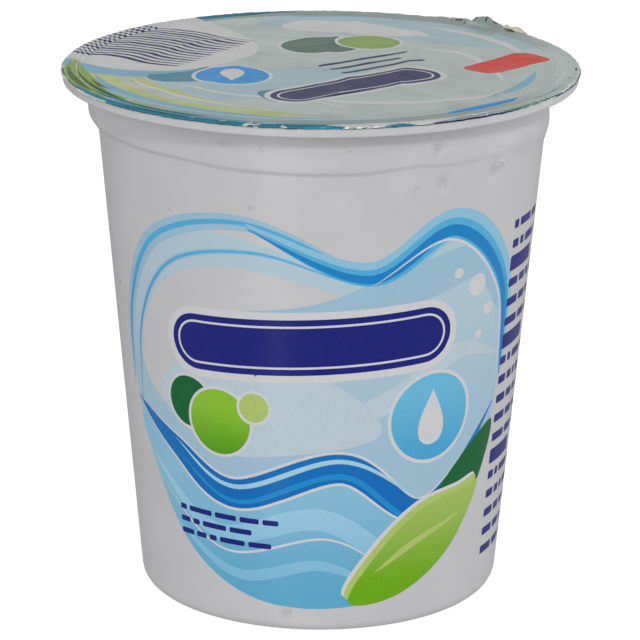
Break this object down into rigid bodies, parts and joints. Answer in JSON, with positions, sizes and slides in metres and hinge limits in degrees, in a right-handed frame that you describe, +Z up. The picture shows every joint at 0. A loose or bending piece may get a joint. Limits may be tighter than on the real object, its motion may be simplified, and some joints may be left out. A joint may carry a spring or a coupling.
{
  "type": "yogurt pot",
  "caption": "Shut single-serve yogurt pot: a white tapered plastic pot with a stepped neck and a sealing flange, and a peel-off foil lid with a bent pull tab.",
  "frame": {"origin": "centre of the ring that the pot stands on, at the level of the surface under it", "axes": "+Z up along the pot's axis, -Y towards the front, where the print faces the viewer"},
  "size_m": [0.0684, 0.0684, 0.0715],
  "materials": {
    "pot_plastic": "thermoformed white polystyrene, satin gloss, printed with fields of blue and green",
    "lid_foil": "thin printed and lacquered aluminium foil, satin, lightly wrinkled"
  },
  "bodies": {
    "root": {"pot": "pot_plastic", "foil_lid": "lid_foil"}
  },
  "joints": []
}
